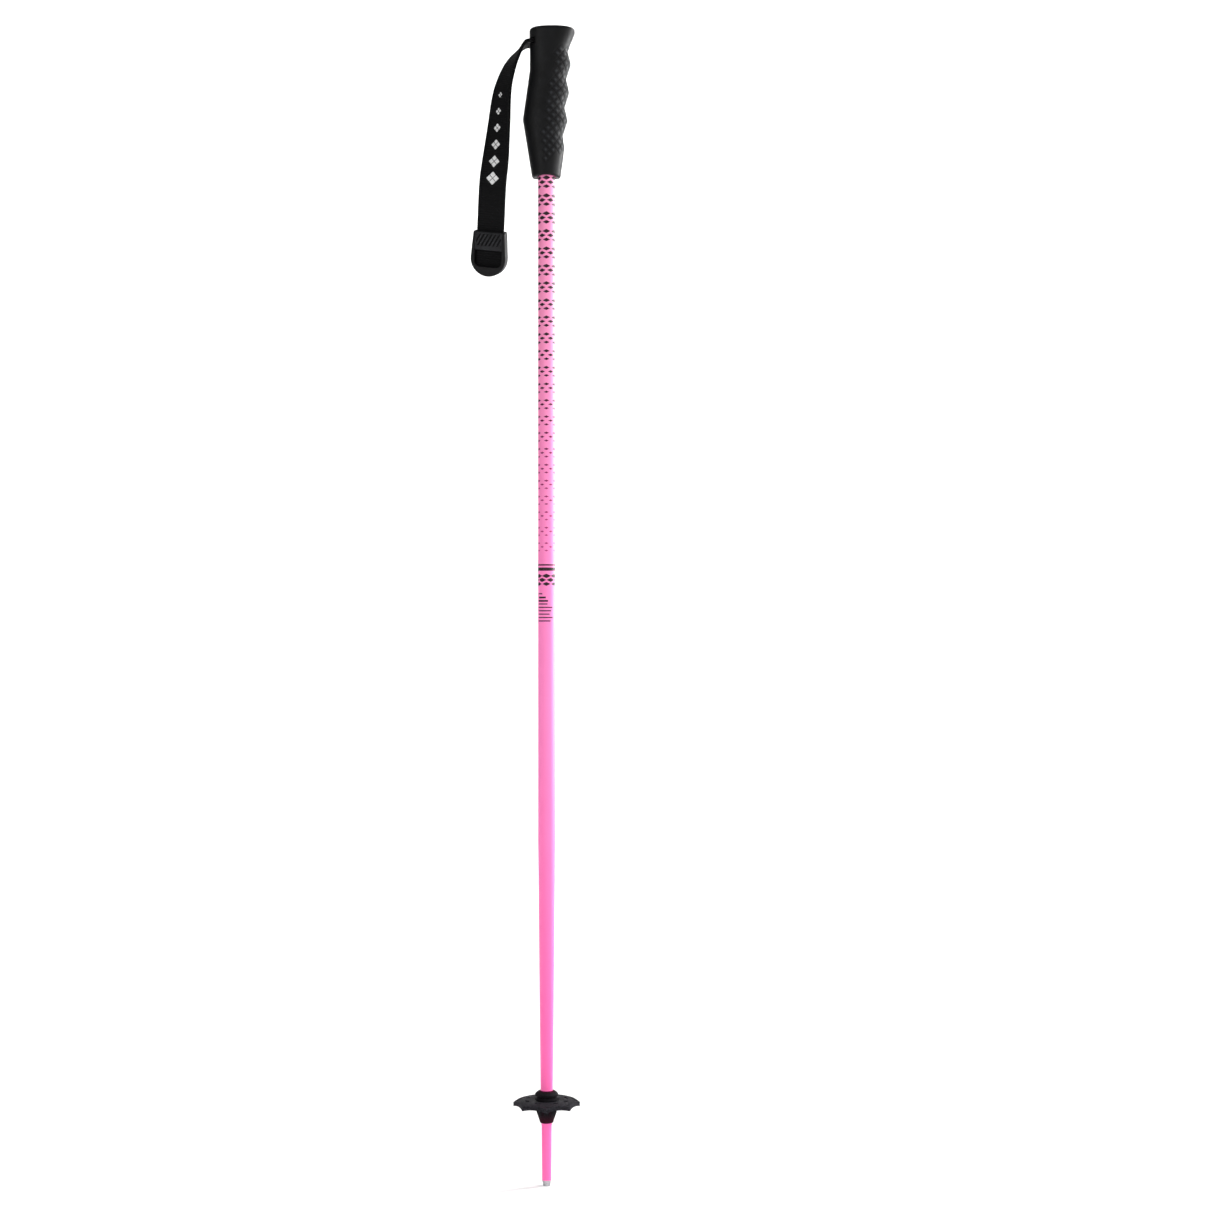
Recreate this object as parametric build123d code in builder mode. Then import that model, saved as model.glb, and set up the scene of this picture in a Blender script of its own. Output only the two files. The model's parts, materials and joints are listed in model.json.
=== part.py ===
from build123d import *
import math
import os

# An alpine ski pole, 120 cm long, for one hand.
# Millimetres. The origin is the end of the tip, on the shaft's axis, and +Z runs up the shaft.
# +X is the finger side of the grip, -X the side that the wrist strap leaves from.

os.makedirs("parts", exist_ok=True)

# ---------------------------------------------------------------- driving dimensions
pole_length = 1200.0

shaft_radius = 9.0  # straight stretch of the tube
shaft_wall = 1.2
shaft_bottom = 66.0  # the tube ends inside the basket hub
shaft_bottom_radius = 6.0
taper_start = 353.0
grip_line = 1046.0  # the paint ends here, inside the grip
bare_radius = 8.95
shaft_top = 1166.0
plug_length = 14.0
plug_flange = 2.0

ferrule_foot = 6.0
ferrule_foot_radius = 4.8
ferrule_neck_radius = 5.3
ferrule_collar_radius = 5.6
ferrule_collar_height = 3.2
spigot_radius = 4.7
spigot_length = 34.0
stud_radius = 2.5
stud_length = 14.0

tip_ring_radius = 3.5
tip_dish_radius = 2.6
tip_dish_depth = 1.8
tip_flutes = 8
tip_flute_radius = 1.15
tip_flute_circle = 5.0
tip_flute_low = 0.9
tip_flute_high = 4.0

hub_top = 98.7
hub_bottom = 65.4
hub_play = 0.06  # running clearance between the hub's bore and the tapered tube
seat_radius = 8.6  # the waist that the disc turns on
seat_low = 82.9
seat_high = 88.5
seat_gap = 0.3
hub_flutes = 8
hub_flute_radius = 2.4
hub_flute_circle = 11.6
hub_flute_low = 70.0
hub_flute_high = 80.5

disc_radius = 34.7  # to the scallops' corners
disc_waist_radius = 30.8  # to the middle of a scallop
disc_sides = 8
disc_corner_radius = 1.2
disc_blank_low = 78.0  # the scalloped blank that the dome's section is cut from
disc_blank_height = 12.0
rim_width = 2.0
rim_rise = 0.8
window_radius = 21.5
window_width = 9.6
window_height = 4.6

sleeve_radius = 12.0  # hard core inside the rubber
head_block_base = 1172.0
head_block_top = 1191.0
head_block_back = -12.0
head_block_front = 19.0
head_block_half_depth = 15.6
head_block_corner = 9.0
grip_bottom = 1042.7
rim_arch_radius = 46.0
rim_arch_rise = 1.7

webbing_width = 29.0
webbing_thickness = 1.6
ply_offset = 0.95  # from the strap's middle surface to the middle of each ply
strap_level = 1182.6
pin_x = -1.5
pin_radius = 2.0
pin_length = 30.0
pocket_radius = 3.9
slot_low = 1180.1
slot_high = 1185.1
slot_mouth = -25.5  # past the palm side of the head
root_end = -17.6
hinge_x = -19.7
loop_gap = 22.0  # how far the loop's two plies stand apart at the widest
loop_gap_low = 1018.0
loop_gap_high = 1140.0
inner_ply_extra_yaw = 4.0

buckle_low = -0.8  # heights along the strap, up from the buckle's nose
buckle_top = 46.2
buckle_end_radius = 19.0  # the round lower end
buckle_side_lean = 4.3  # degrees that each side draws in towards the top
buckle_corner_radius = 2.0
buckle_front = 6.5  # heights over the strap's middle surface
buckle_back = -4.5
channel_width = 29.7
channel_height = 4.2
opening_low = 9.0
opening_corner_radius = 6.0
lever_low = 26.6
lever_half_width = 14.5
lever_inside = 3.6
lever_outside = 6.3
hinge_height = 44.2
hinge_depth = 3.8
hinge_pin_radius = 0.9
hinge_pin_half_length = 16.3
hinge_play = 0.06
knuckle_radius = 1.85
groove_pitch = 4.1
groove_width = 1.7
groove_depth = 1.9
groove_slope = 62.0
groove_low = 31.0
groove_high = 43.4
groove_field_half_width = 13.3

# ---------------------------------------------------------------- shapes used more than once


def shaft_radius_at(z):
    """Outer radius of the tapered stretch of the tube."""
    share = (z - shaft_bottom) / (taper_start - shaft_bottom)
    return shaft_bottom_radius + share * (shaft_radius - shaft_bottom_radius)


def grip_outline(back, front, half_depth, squareness):
    """Points of a rounded outline, symmetric about the X axis, for a closed spline."""
    middle = (front + back) / 2
    reach = (front - back) / 2
    points = []
    for step in range(16):
        turn = math.radians(22.5 * step)
        cosine, sine = math.cos(turn), math.sin(turn)
        x = middle + math.copysign(reach * abs(cosine) ** (2 / squareness), cosine)
        y = math.copysign(half_depth * abs(sine) ** (2 / squareness), sine)
        points.append((x, y))
    return points


# ---------------------------------------------------------------- shaft: one drawn tube
with BuildPart() as shaft:
    with BuildSketch(Plane.XZ):
        with BuildLine():
            Polyline(
                (shaft_bottom_radius, shaft_bottom),
                (shaft_radius, taper_start),
                (shaft_radius, grip_line),
                (bare_radius, grip_line),
                (bare_radius, shaft_top),
                (shaft_radius - shaft_wall, shaft_top),
                (shaft_radius - shaft_wall, taper_start),
                (shaft_bottom_radius - shaft_wall, shaft_bottom),
                close=True,
            )
        make_face()
    revolve(axis=Axis.Z)

# ---------------------------------------------------------------- plug in the tube's top end
with BuildPart() as shaft_plug:
    with BuildSketch(Plane.XY.offset(shaft_top - plug_length)):
        Circle(shaft_radius - shaft_wall)
    extrude(amount=plug_length)
    with BuildSketch(Plane.XY.offset(shaft_top)):
        Circle(bare_radius)
    extrude(amount=plug_flange)
    chamfer(shaft_plug.faces().sort_by(Axis.Z)[0].edges(), 1.0)

# ---------------------------------------------------------------- ferrule and crown tip
with BuildPart() as ferrule:
    with BuildSketch(Plane.XZ):
        with BuildLine():
            collar_low = shaft_bottom - ferrule_collar_height
            Polyline(
                (0, ferrule_foot + stud_length),
                (stud_radius, ferrule_foot + stud_length),
                (stud_radius, ferrule_foot),
                (ferrule_foot_radius, ferrule_foot),
                (ferrule_neck_radius, collar_low - 0.5),
                (ferrule_collar_radius, collar_low),
                (ferrule_collar_radius, shaft_bottom),
                (spigot_radius, shaft_bottom),
                (spigot_radius, shaft_bottom + spigot_length - 2),
                (spigot_radius - 1, shaft_bottom + spigot_length),
                (0, shaft_bottom + spigot_length),
                close=True,
            )
        make_face()
    revolve(axis=Axis.Z)

with BuildPart() as tip:
    with BuildSketch(Plane.XZ):
        with BuildLine():
            Polyline(
                (0, tip_dish_depth),
                (tip_dish_radius, 0),
                (tip_ring_radius, 0),
                (4.4, 4.2),
                (ferrule_foot_radius, 4.8),
                (ferrule_foot_radius, ferrule_foot),
                (stud_radius, ferrule_foot),
                (stud_radius, ferrule_foot + stud_length - 1),
                (stud_radius - 0.6, ferrule_foot + stud_length - 0.4),
                (0, ferrule_foot + stud_length - 0.4),
                close=True,
            )
        make_face()
    revolve(axis=Axis.Z)
    with BuildSketch(Plane.XY.offset(tip_flute_low)):
        with PolarLocations(tip_flute_circle, tip_flutes):
            Circle(tip_flute_radius)
    extrude(amount=tip_flute_high - tip_flute_low, mode=Mode.SUBTRACT)

# ---------------------------------------------------------------- basket hub: a grooved bobbin
with BuildPart() as basket_hub:
    with BuildSketch(Plane.XZ):
        with BuildLine():
            bore_top = (shaft_radius_at(hub_top) + hub_play, hub_top)
            bore_bottom = (shaft_radius_at(hub_bottom) + hub_play, hub_bottom)
            shoulder = ThreePointArc((7.4, hub_top), (10.2, 97.2), (12.1, 95.0))
            collar = Polyline(
                (12.1, 95.0),
                (12.1, 93.9),
                (11.6, 93.3),
                (10.1, 93.1),
                (10.1, 91.3),
                (11.1, 91.0),
                (11.5, 90.6),
                (11.5, 89.0),
                (11.1, seat_high),
                (seat_radius, seat_high),
                (seat_radius, seat_low),
                (10.0, seat_low),
                (10.5, seat_low - 0.5),
                (10.4, 76.4),
            )
            skirt = ThreePointArc((10.4, 76.4), (8.6, 71.0), (7.3, 67.2))
            lip = ThreePointArc((7.3, 67.2), (7.0, 66.0), (6.5, hub_bottom))
            Polyline((6.5, hub_bottom), bore_bottom, bore_top, (7.4, hub_top))
        make_face()
    revolve(axis=Axis.Z)
    with BuildSketch(Plane.XY.offset(hub_flute_low)):
        with PolarLocations(hub_flute_circle, hub_flutes, start_angle=180 / hub_flutes):
            Circle(hub_flute_radius)
    extrude(amount=hub_flute_high - hub_flute_low, mode=Mode.SUBTRACT)

# ---------------------------------------------------------------- basket disc: a scalloped dome
def around(radius, degrees):
    """A point at this radius and angle round the pole."""
    return (radius * math.cos(math.radians(degrees)), radius * math.sin(math.radians(degrees)))


def scalloped_outline():
    """The disc's rim: concave arcs between corners at equal angles."""
    with BuildSketch(mode=Mode.PRIVATE) as outline:
        with BuildLine():
            for side in range(disc_sides):
                start, middle, end = (180 / disc_sides * (2 * side + i) for i in range(3))
                ThreePointArc(
                    around(disc_radius, start),
                    around(disc_waist_radius, middle),
                    around(disc_radius, end),
                )
        make_face()
        fillet(outline.vertices(), disc_corner_radius)
    return outline.sketch


def dome_profile(rise):
    """Half of the dome's section, thickened by rise on both faces, out past the rim."""
    with BuildSketch(Plane.XZ, mode=Mode.PRIVATE) as section:
        with BuildLine():
            ThreePointArc((13, 88.8 + rise), (24, 88.9 + rise), (36, 85.0 + rise))
            Line((36, 85.0 + rise), (36, 82.4 - rise))
            ThreePointArc((36, 82.4 - rise), (24, 86.3 - rise), (13, 86.2 - rise))
            Line((13, 86.2 - rise), (13, 88.8 + rise))
        make_face()
    return section.sketch


with BuildPart() as basket_rim:
    with BuildSketch(Plane.XY.offset(disc_blank_low)):
        add(scalloped_outline())
        offset(scalloped_outline(), amount=-rim_width, mode=Mode.SUBTRACT)
    extrude(amount=disc_blank_height)
    add(dome_profile(rim_rise))
    revolve(axis=Axis.Z, mode=Mode.INTERSECT)

with BuildPart() as basket_disc:
    with BuildSketch(Plane.XY.offset(disc_blank_low)):
        add(scalloped_outline())
    extrude(amount=disc_blank_height)
    add(dome_profile(0))
    revolve(axis=Axis.Z, mode=Mode.INTERSECT)
    with BuildSketch(Plane.XZ):
        with BuildLine():
            Polyline(
                (seat_radius + seat_gap, seat_low + seat_gap),
                (12.4, seat_low + seat_gap),
                (14.4, 86.6),
                (14.4, 88.4),
                (13.2, seat_high - seat_gap),
                (seat_radius + seat_gap, seat_high - seat_gap),
                close=True,
            )
        make_face()
    revolve(axis=Axis.Z)
    add(basket_rim.part)
    with BuildSketch(Plane.XY.offset(disc_blank_low)):
        with PolarLocations(window_radius, disc_sides, start_angle=180 / disc_sides):
            Polygon(
                (-window_height / 2, 0),
                (0, -window_width / 2),
                (window_height / 2, 0),
                (0, window_width / 2),
                align=None,
            )
    extrude(amount=disc_blank_height, mode=Mode.SUBTRACT)

# ---------------------------------------------------------------- grip: hard core
with BuildPart() as core_outside:
    with BuildSketch(Plane.XY.offset(grip_line)):
        Circle(sleeve_radius)
    extrude(amount=head_block_base - grip_line)
    with BuildSketch(Plane.XY.offset(head_block_base)):
        with Locations(((head_block_back + head_block_front) / 2, 0)):
            RectangleRounded(
                head_block_front - head_block_back, 2 * head_block_half_depth, head_block_corner
            )
    extrude(amount=head_block_top - head_block_base)

with BuildPart() as strap_pocket:
    with BuildSketch(Plane.XZ.offset(-head_block_half_depth)):
        with Locations((pin_x, strap_level)):
            Circle(pocket_radius)
        with Locations(((pin_x + slot_mouth) / 2, (slot_low + slot_high) / 2)):
            Rectangle(pin_x - slot_mouth, slot_high - slot_low)
    extrude(amount=2 * head_block_half_depth)

with BuildPart() as grip_core:
    add(core_outside.part)
    with BuildSketch(Plane.XY.offset(grip_line)):
        Circle(bare_radius)
    extrude(amount=shaft_top + plug_flange - grip_line, mode=Mode.SUBTRACT)
    add(strap_pocket.part, mode=Mode.SUBTRACT)

# ---------------------------------------------------------------- grip: rubber cover
# height, back, front, half depth and squareness of the outline: the front swells between the fingers
grip_stations = [
    (grip_bottom, -14.9, 14.2, 14.4, 2.2),
    (1050.5, -16.1, 15.3, 15.2, 2.2),
    (1061.0, -17.8, 16.8, 15.8, 2.2),
    (1072.0, -19.6, 18.3, 16.2, 2.2),
    (1087.0, -22.0, 17.0, 16.4, 2.2),
    (1102.0, -24.1, 21.3, 16.6, 2.2),
    (1116.0, -23.0, 18.8, 16.6, 2.2),
    (1131.0, -21.2, 22.9, 16.6, 2.2),
    (1145.0, -19.4, 20.4, 16.6, 2.3),
    (1160.0, -17.6, 24.6, 16.9, 2.5),
    (1174.5, -17.3, 21.9, 17.6, 2.8),
    (1184.0, -17.4, 25.5, 18.2, 3.0),
    (1193.0, -17.7, 29.4, 18.5, 3.0),
]
crown_stations = [
    (1193.0, -17.7, 29.4, 18.5, 3.0),
    (1196.2, -16.2, 28.3, 17.3, 2.8),
    (1198.3, -11.6, 23.0, 14.0, 2.6),
    (1199.5, -5.0, 16.4, 8.6, 2.4),
    (pole_length, 1.2, 10.2, 3.6, 2.0),
]

with BuildPart() as grip_cover:
    for height, back, front, half_depth, squareness in grip_stations:
        with BuildSketch(Plane.XY.offset(height)):
            with BuildLine():
                Spline(grip_outline(back, front, half_depth, squareness), periodic=True)
            make_face()
    loft()
    for height, back, front, half_depth, squareness in crown_stations:
        with BuildSketch(Plane.XY.offset(height)):
            with BuildLine():
                Spline(grip_outline(back, front, half_depth, squareness), periodic=True)
            make_face()
    loft()
    add(core_outside.part, mode=Mode.SUBTRACT)
    add(strap_pocket.part, mode=Mode.SUBTRACT)
    # the lip that hugs the tube, and the shallow arch across the bottom rim
    with BuildSketch(Plane.XY.offset(grip_bottom - 2)):
        Circle(shaft_radius)
    extrude(amount=grip_line - grip_bottom + 2, mode=Mode.SUBTRACT)
    with BuildSketch(Plane.XZ.offset(-20)):
        with Locations((0, grip_bottom + rim_arch_rise - rim_arch_radius)):
            Circle(rim_arch_radius)
    extrude(amount=40, mode=Mode.SUBTRACT)

# ---------------------------------------------------------------- strap anchorage in the head
with BuildPart() as strap_pin:
    with BuildSketch(Plane.XZ.offset(-pin_length / 2)):
        with Locations((pin_x, strap_level)):
            Circle(pin_radius)
    extrude(amount=pin_length)

with BuildPart() as strap_root:
    with BuildSketch(Plane.XZ.offset(-webbing_width / 2)):
        with Locations((pin_x, strap_level)):
            Circle(pin_radius + 0.05 + webbing_thickness)
        with Locations(((pin_x + root_end) / 2, strap_level)):
            Rectangle(pin_x - root_end, 2 * ply_offset + webbing_thickness)
        with Locations((pin_x, strap_level)):
            Circle(pin_radius + 0.05, mode=Mode.SUBTRACT)
    extrude(amount=webbing_width)

# ---------------------------------------------------------------- wrist strap
# The loop's middle line from the slot down to the buckle, and how far the webbing's face has
# turned from the front towards the back of the grip. The last run is straight, for the buckle.
strap_route = [
    (hinge_x, 0.0, strap_level, 88.0),
    (-25.6, 0.0, 1178.2, 80.0),
    (-31.0, -0.5, 1171.5, 70.0),
    (-36.0, -1.2, 1163.0, 63.0),
    (-40.9, -2.2, 1151.0, 57.0),
    (-44.6, -3.4, 1138.0, 52.0),
    (-47.2, -4.6, 1122.0, 47.0),
    (-49.0, -5.8, 1103.0, 42.0),
    (-50.8, -6.6, 1082.0, 33.0),
    (-52.9, -6.8, 1062.0, 24.0),
    (-55.3, -5.8, 1040.0, 16.0),
    (-56.6, -3.0, 1018.0, 14.0),
]
buckle_nose = Vector(-60.9, 18.0, 945.0)
strap_end = 9.5  # the loop's lower end, above the buckle's nose

run_top = Vector(*strap_route[-1][:3])
run_up = (run_top - buckle_nose).normalized()
run_yaw = math.radians(strap_route[-1][3])
level_across = Vector(math.cos(run_yaw), -math.sin(run_yaw), 0)
run_across = (level_across - run_up * level_across.dot(run_up)).normalized()
run_out = run_across.cross(run_up)
buckle_plane = Plane(origin=buckle_nose, x_dir=run_across, z_dir=run_out)


def loop_gap_at(z):
    """How far the inner ply hangs behind the outer one, along Y."""
    share = (z - loop_gap_low) / (loop_gap_high - loop_gap_low)
    return loop_gap * math.sin(math.pi * min(max(share, 0), 1)) ** 2


def ply_stations(side):
    """Each station of one ply: its middle, the direction across the webbing, and along it."""
    bottom = buckle_nose + run_up * strap_end
    route = strap_route + [(bottom.X, bottom.Y, bottom.Z, strap_route[-1][3])]
    gaps = [0 if side > 0 else loop_gap_at(z) for _, _, z, _ in route]
    points = [Vector(x, y + gap, z) for (x, y, z, _), gap in zip(route, gaps)]
    stations = []
    for i, (point, gap) in enumerate(zip(points, gaps)):
        before, after = points[max(i - 1, 0)], points[min(i + 1, len(points) - 1)]
        along = (after - before).normalized()
        if i >= len(points) - 2:
            along = run_up * -1
        yaw = math.radians(route[i][3] + inner_ply_extra_yaw * gap / loop_gap)
        level = Vector(math.cos(yaw), -math.sin(yaw), 0)
        across = (level - along * level.dot(along)).normalized()
        stations.append((point + along.cross(across) * side * ply_offset, across, along))
    return stations


with BuildPart() as strap_front:
    for middle, across, along in ply_stations(1):
        with BuildSketch(Plane(origin=middle, x_dir=across, z_dir=along)):
            Rectangle(webbing_width, webbing_thickness)
    loft(ruled=True)

with BuildPart() as strap_back:
    for middle, across, along in ply_stations(-1):
        with BuildSketch(Plane(origin=middle, x_dir=across, z_dir=along)):
            Rectangle(webbing_width, webbing_thickness)
    loft(ruled=True)

# ---------------------------------------------------------------- buckle body
pin_plane = Plane(
    origin=buckle_plane.from_local_coords((0, hinge_height, hinge_depth)),
    x_dir=run_up,
    z_dir=run_across,
)

lean = math.radians(buckle_side_lean)
shoulder_half_width = buckle_end_radius * math.cos(lean)
shoulder_height = buckle_low + buckle_end_radius * (1 + math.sin(lean))
top_half_width = shoulder_half_width - (buckle_top - shoulder_height) * math.tan(lean)

with BuildPart() as buckle_frame:
    with BuildSketch(buckle_plane.offset(buckle_back)):
        with BuildLine():
            Polyline(
                (-shoulder_half_width, shoulder_height),
                (-top_half_width, buckle_top),
                (top_half_width, buckle_top),
                (shoulder_half_width, shoulder_height),
            )
            ThreePointArc(
                (shoulder_half_width, shoulder_height),
                (0, buckle_low),
                (-shoulder_half_width, shoulder_height),
            )
        make_face()
    extrude(amount=buckle_front - buckle_back)
    upright = buckle_frame.edges().filter_by(Axis(buckle_nose, run_out)).sort_by(Axis.Z)
    fillet(upright[-2:], buckle_corner_radius)
    outer_faces = buckle_frame.faces().sort_by(Axis(buckle_nose, run_out))
    fillet(outer_faces[-1].edges(), 1.6)
    fillet(buckle_frame.faces().sort_by(Axis(buckle_nose, run_out))[0].edges(), 1.0)
    # the channel that both plies of the strap run through
    with BuildSketch(buckle_plane.offset(-channel_height / 2)):
        with Locations((0, buckle_top / 2)):
            Rectangle(channel_width, buckle_top + 10)
    extrude(amount=channel_height, mode=Mode.SUBTRACT)
    # the opening in the front wall, out through the top: the lever fills its upper half
    with BuildSketch(buckle_plane.offset(channel_height / 2)) as opening:
        with Locations((0, opening_low)):
            Rectangle(channel_width, buckle_top, align=(Align.CENTER, Align.MIN))
        fillet(opening.vertices().group_by(Axis.Y)[0], opening_corner_radius)
    extrude(amount=buckle_front, mode=Mode.SUBTRACT)
    with BuildSketch(pin_plane):
        Circle(hinge_pin_radius)
    extrude(amount=hinge_pin_half_length + 0.1, both=True, mode=Mode.SUBTRACT)

with BuildPart() as buckle_pin:
    with BuildSketch(pin_plane):
        Circle(hinge_pin_radius)
    extrude(amount=hinge_pin_half_length, both=True)

# ---------------------------------------------------------------- buckle lever: ribbed thumb plate
# seen from the side: x is the height along the strap, y the depth over its middle surface
lever_side = Plane(
    origin=buckle_plane.from_local_coords((-lever_half_width, 0, 0)),
    x_dir=run_up,
    z_dir=run_across,
)

with BuildPart() as buckle_lever:
    with BuildSketch(lever_side):
        with BuildLine():
            Polyline(
                (lever_low, lever_inside + 0.6),
                (lever_low, lever_outside - 0.7),
                (lever_low + 0.7, lever_outside),
                (hinge_height, lever_outside),
                (hinge_height + 1.3, lever_outside - 0.8),
                (hinge_height + knuckle_radius, hinge_depth),
                (hinge_height, hinge_depth - 0.5),
                (hinge_height - 2, lever_inside),
                (lever_low + 0.6, lever_inside),
                close=True,
            )
        make_face()
        with Locations((hinge_height, hinge_depth)):
            Circle(knuckle_radius)
            Circle(hinge_pin_radius + hinge_play, mode=Mode.SUBTRACT)
    extrude(amount=2 * lever_half_width)
    # slanted grooves, kept inside a rectangular field
    with BuildSketch(buckle_plane.offset(lever_outside - groove_depth)) as grooves:
        field_middle = (groove_low + groove_high) / 2
        for step in range(-4, 5):
            with Locations((step * groove_pitch, field_middle)):
                SlotOverall(22, groove_width, rotation=groove_slope)
        with Locations((0, field_middle)):
            RectangleRounded(
                2 * groove_field_half_width, groove_high - groove_low, 0.8, mode=Mode.INTERSECT
            )
    extrude(amount=2 * groove_depth, mode=Mode.SUBTRACT)


# ---------------------------------------------------------------- one file for each piece
def save(piece, name):
    piece.part.label = name
    export_step(piece.part, f"parts/{name}.step")


save(shaft, "shaft")
save(shaft_plug, "shaft_plug")
save(ferrule, "ferrule")
save(tip, "tip")
save(basket_hub, "basket_hub")
save(basket_disc, "basket_disc")
save(grip_core, "grip_core")
save(grip_cover, "grip_cover")
save(strap_pin, "strap_pin")
save(strap_root, "strap_root")
save(strap_front, "strap_front")
save(strap_back, "strap_back")
save(buckle_frame, "buckle_frame")
save(buckle_pin, "buckle_pin")
save(buckle_lever, "buckle_lever")
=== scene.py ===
import json
import math

import bpy
import numpy as np
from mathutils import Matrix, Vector


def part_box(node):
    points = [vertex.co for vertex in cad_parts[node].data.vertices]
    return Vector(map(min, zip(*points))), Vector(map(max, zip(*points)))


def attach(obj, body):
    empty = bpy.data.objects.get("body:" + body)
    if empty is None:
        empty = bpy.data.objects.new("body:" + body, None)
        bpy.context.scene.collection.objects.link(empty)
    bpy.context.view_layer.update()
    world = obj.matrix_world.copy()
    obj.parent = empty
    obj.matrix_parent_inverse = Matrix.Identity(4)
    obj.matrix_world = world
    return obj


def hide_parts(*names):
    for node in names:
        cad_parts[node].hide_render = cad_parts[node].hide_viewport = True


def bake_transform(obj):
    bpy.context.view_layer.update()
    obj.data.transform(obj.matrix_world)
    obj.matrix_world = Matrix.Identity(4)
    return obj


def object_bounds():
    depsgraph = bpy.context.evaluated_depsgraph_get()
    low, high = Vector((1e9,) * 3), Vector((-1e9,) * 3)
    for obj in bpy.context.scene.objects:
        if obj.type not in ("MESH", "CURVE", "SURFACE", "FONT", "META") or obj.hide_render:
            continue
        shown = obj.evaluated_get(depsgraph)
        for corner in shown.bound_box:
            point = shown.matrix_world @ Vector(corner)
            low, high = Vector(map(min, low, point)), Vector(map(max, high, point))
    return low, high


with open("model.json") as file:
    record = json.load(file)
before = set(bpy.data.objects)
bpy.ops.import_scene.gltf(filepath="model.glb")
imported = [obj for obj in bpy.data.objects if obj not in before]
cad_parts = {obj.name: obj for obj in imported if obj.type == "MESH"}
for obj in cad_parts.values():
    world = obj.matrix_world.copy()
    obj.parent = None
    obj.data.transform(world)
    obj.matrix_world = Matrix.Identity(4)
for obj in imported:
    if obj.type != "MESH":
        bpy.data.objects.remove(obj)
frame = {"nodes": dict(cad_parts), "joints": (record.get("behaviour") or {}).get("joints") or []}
cad_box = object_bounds()

# An alpine ski pole standing on its tip. Metres; +Z up the shaft, +X the finger side of the grip,
# and the camera looks along +Y. Lengths are written as millimetres times mm.
mm = 0.001

joints = {joint["name"]: joint for joint in frame["joints"]}
nodes = frame["nodes"]


# ---------------------------------------------------------------- node graphs
class Graph:
    """A material and short calls for its nodes. A value is a number, a colour or a socket."""

    def __init__(self, name):
        self.material = bpy.data.materials.new(name)
        self.material.use_nodes = True
        self.tree = self.material.node_tree
        self.tree.nodes.clear()
        self.shader = self.node("ShaderNodeBsdfPrincipled")
        output = self.node("ShaderNodeOutputMaterial")
        self.tree.links.new(self.shader.outputs[0], output.inputs["Surface"])
        self.place = self.node("ShaderNodeTexCoord").outputs["Object"]

    def node(self, kind, **settings):
        made = self.tree.nodes.new(kind)
        for key, value in settings.items():
            setattr(made, key, value)
        return made

    def put(self, value, socket):
        if isinstance(value, bpy.types.NodeSocket):
            self.tree.links.new(value, socket)
        elif socket.type == "RGBA":
            socket.default_value = (*value, 1.0)
        else:
            socket.default_value = value

    def math(self, operation, *values, clamp=False):
        made = self.node("ShaderNodeMath", operation=operation, use_clamp=clamp)
        for value, socket in zip(values, made.inputs):
            self.put(value, socket)
        return made.outputs[0]

    def step(self, value, low, high, start=0.0, end=1.0):
        """value's smooth passage from low to high, as start to end."""
        made = self.node("ShaderNodeMapRange", interpolation_type="SMOOTHSTEP")
        for given, name in zip(
            (value, low, high, start, end), ("Value", "From Min", "From Max", "To Min", "To Max")
        ):
            self.put(given, made.inputs[name])
        return made.outputs["Result"]

    def between(self, value, low, high):
        """1 where value lies between low and high, and 0 elsewhere."""
        above = self.math("GREATER_THAN", value, low)
        return self.math("MULTIPLY", above, self.math("LESS_THAN", value, high))

    def mix(self, share, first, second):
        made = self.node("ShaderNodeMix", data_type="RGBA")
        self.put(share, made.inputs["Factor"])
        self.put(first, made.inputs[6])
        self.put(second, made.inputs[7])
        return made.outputs[2]

    def noise(self, size, detail=2.0, roughness=0.5, place=None):
        """Noise from 0 to 1 with features about size metres across."""
        made = self.node("ShaderNodeTexNoise")
        self.put(self.place if place is None else place, made.inputs["Vector"])
        self.put(1.0 / size, made.inputs["Scale"])
        self.put(detail, made.inputs["Detail"])
        self.put(roughness, made.inputs["Roughness"])
        return made.outputs["Fac"]

    def cells(self, size):
        made = self.node("ShaderNodeTexVoronoi", feature="F1")
        self.put(self.place, made.inputs["Vector"])
        self.put(1.0 / size, made.inputs["Scale"])
        return made.outputs["Distance"]

    def axes(self, place=None):
        made = self.node("ShaderNodeSeparateXYZ")
        self.put(self.place if place is None else place, made.inputs[0])
        return made.outputs[0], made.outputs[1], made.outputs[2]

    def joined(self, x, y, z):
        made = self.node("ShaderNodeCombineXYZ")
        for value, socket in zip((x, y, z), made.inputs):
            self.put(value, socket)
        return made.outputs[0]

    def attribute(self, name):
        return self.node("ShaderNodeAttribute", attribute_name=name).outputs["Fac"]

    def bump(self, height, distance, strength=1.0, under=None):
        """height's relief, distance metres tall at strength 1, over the relief under it."""
        made = self.node("ShaderNodeBump")
        self.put(strength, made.inputs["Strength"])
        self.put(distance, made.inputs["Distance"])
        self.put(height, made.inputs["Height"])
        if under is not None:
            self.put(under, made.inputs["Normal"])
        return made.outputs["Normal"]

    def finish(self, **sockets):
        """Sets the shader's sockets, named with _ for a space, and gives the material."""
        for name, value in sockets.items():
            self.put(value, self.shader.inputs[name.replace("_", " ")])
        return self.material


# ---------------------------------------------------------------- materials
# one pink lacquer: these three tones are painted light, lighter towards the top of the pole where the
# light falls strongest
PINK_PAINTED_LIGHT_HIGH = (0.92, 0.28, 0.51)
PINK_PAINTED_LIGHT_MIDDLE = (0.97, 0.23, 0.53)
PINK_PAINTED_LIGHT_LOW = (0.98, 0.135, 0.42)
INK = (0.012, 0.0003, 0.003)
INK_FADED = (0.48, 0.04, 0.17)


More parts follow.
